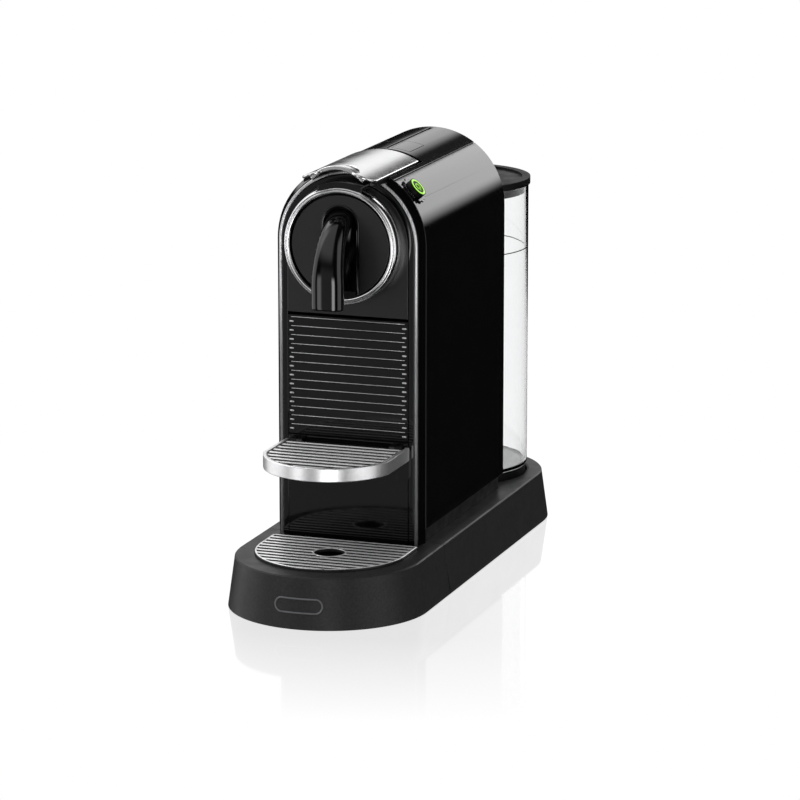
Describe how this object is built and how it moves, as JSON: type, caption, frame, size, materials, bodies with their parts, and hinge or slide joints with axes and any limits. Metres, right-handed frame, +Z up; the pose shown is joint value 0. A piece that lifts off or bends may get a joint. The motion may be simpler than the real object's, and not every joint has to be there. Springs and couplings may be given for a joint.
{
  "type": "pod coffee machine",
  "caption": "Arched upright pod coffee machine on a long round-ended base, with a lever, spout, fold-up cup support, drip tray and clear water tank.",
  "frame": {"origin": "on the floor under the middle of the base", "axes": "+X to the machine's right seen from the front, +Y towards the water tank at the back, +Z up"},
  "size_m": [0.1298, 0.375, 0.2794],
  "materials": {
    "satin_black_base": "satin moulded",
    "matte_black_plastic": "fine moulded grain",
    "inner_plastic": "glass-filled moulded",
    "gloss_black_plastic": "high gloss",
    "satin_black_front": "satin",
    "chrome_plate": "bright plated",
    "brushed_trim": "brushed",
    "bright_grille": "brushed bright",
    "plain_steel": "plain",
    "zinc_bracket": "zinc plated",
    "cast_aluminium": "as cast",
    "black_rubber": "matt",
    "silicone_seal": "matt",
    "silicone_hose": "translucent",
    "pump_shell": "semi gloss",
    "white_plastic": "semi gloss",
    "circuit_green": "solder mask",
    "brass_standoff": "turned",
    "green_light": "lit lens",
    "clear_plastic": "clear"
  },
  "bodies": {
    "machine": {"base_shell": "satin_black_base", "bottom_cover": "matte_black_plastic", "rubber_feet": "black_rubber", "case_screws": "plain_steel", "cord_gland": "black_rubber", "tank_seat": "matte_black_plastic", "seat_seal": "silicone_seal", "chassis_frame": "matte_black_plastic", "chassis_floor": "inner_plastic", "bulkhead": "inner_plastic", "bay_shelf": "inner_plastic", "side_cover_left": "gloss_black_plastic", "side_cover_right": "gloss_black_plastic", "top_cover": "gloss_black_plastic", "rear_panel": "matte_black_plastic", "front_bezel": "gloss_black_plastic", "front_trim": "brushed_trim", "front_plate": "satin_black_front", "head_hood": "gloss_black_plastic", "head_ring": "chrome_plate", "head_disc": "satin_black_front", "spout": "gloss_black_plastic", "brew_frame": "inner_plastic", "piercing_plate": "plain_steel", "capsule_guide": "inner_plastic", "lever_pin": "plain_steel", "pump": "pump_shell", "pump_mounts": "black_rubber", "pump_bracket": "zinc_bracket", "thermoblock": "cast_aluminium", "boiler_bracket": "zinc_bracket", "flow_meter": "white_plastic", "water_hoses": "silicone_hose", "pressure_pipe": "silicone_hose", "circuit_board": "circuit_green", "board_standoffs": "brass_standoff", "button_board": "circuit_green", "power_collar": "gloss_black_plastic", "power_switch": "inner_plastic"},
    "lever": {"lever_skin": "chrome_plate", "lever_frame": "matte_black_plastic"},
    "brew_carriage": {"capsule_cage": "inner_plastic", "cage_piston": "plain_steel"},
    "power_button": {"power_button": "gloss_black_plastic", "power_light_ring": "green_light"},
    "espresso_button": {"espresso_button": "gloss_black_plastic"},
    "lungo_button": {"lungo_button": "gloss_black_plastic"},
    "drip_module": {"drip_base": "satin_black_base", "lower_front": "gloss_black_plastic", "ribbed_front": "matte_black_plastic", "capsule_container": "matte_black_plastic", "support_pins": "plain_steel"},
    "drip_grid": {"drip_grid": "bright_grille"},
    "cup_support": {"support_base": "matte_black_plastic", "support_band": "chrome_plate", "support_grille": "bright_grille"},
    "water_tank": {"water_tank": "clear_plastic", "tank_foot": "matte_black_plastic", "tank_valve": "white_plastic"},
    "tank_lid": {"tank_lid": "matte_black_plastic"}
  },
  "joints": [
    {"name": "lever_hinge", "type": "hinge", "parent": "machine", "child": "lever", "pos_m": [0, -0.031, 0.268], "axis": [-1, 0, 0], "range_deg": [0, 85]},
    {"name": "brew_carriage_slide", "type": "slide", "parent": "machine", "child": "brew_carriage", "axis": [0, 1, 0], "range_m": [0, 0.0262]},
    {"name": "power_button_press", "type": "slide", "parent": "machine", "child": "power_button", "axis": [-0.7501, 0, -0.6613], "range_m": [0, 0.0014], "stiffness_N_per_m": 900, "springref_m": -0.0006},
    {"name": "espresso_button_press", "type": "slide", "parent": "machine", "child": "espresso_button", "axis": [-0.1736, 0, -0.9848], "range_m": [0, 0.0009], "stiffness_N_per_m": 900, "springref_m": -0.0006},
    {"name": "lungo_button_press", "type": "slide", "parent": "machine", "child": "lungo_button", "axis": [0.1736, 0, -0.9848], "range_m": [0, 0.0009], "stiffness_N_per_m": 900, "springref_m": -0.0006},
    {"name": "drip_module_slide", "type": "slide", "parent": "machine", "child": "drip_module", "axis": [0, -1, 0], "range_m": [0, 0.12]},
    {"name": "drip_grid_lift", "type": "slide", "parent": "drip_module", "child": "drip_grid", "axis": [0, 0, 1], "range_m": [0, 0.04]},
    {"name": "cup_support_hinge", "type": "hinge", "parent": "drip_module", "child": "cup_support", "pos_m": [0, -0.0944, 0.0965], "axis": [-1, 0, 0], "range_deg": [0, 90]},
    {"name": "water_tank_lift", "type": "slide", "parent": "machine", "child": "water_tank", "axis": [0, 0, 1], "range_m": [0, 0.06]},
    {"name": "tank_lid_lift", "type": "slide", "parent": "water_tank", "child": "tank_lid", "axis": [0, 0, 1], "range_m": [0, 0.04]}
  ],
  "couplings": [
    {"joint": "brew_carriage_slide", "follows": "lever_hinge", "m_per_rad": 0.0175}
  ]
}
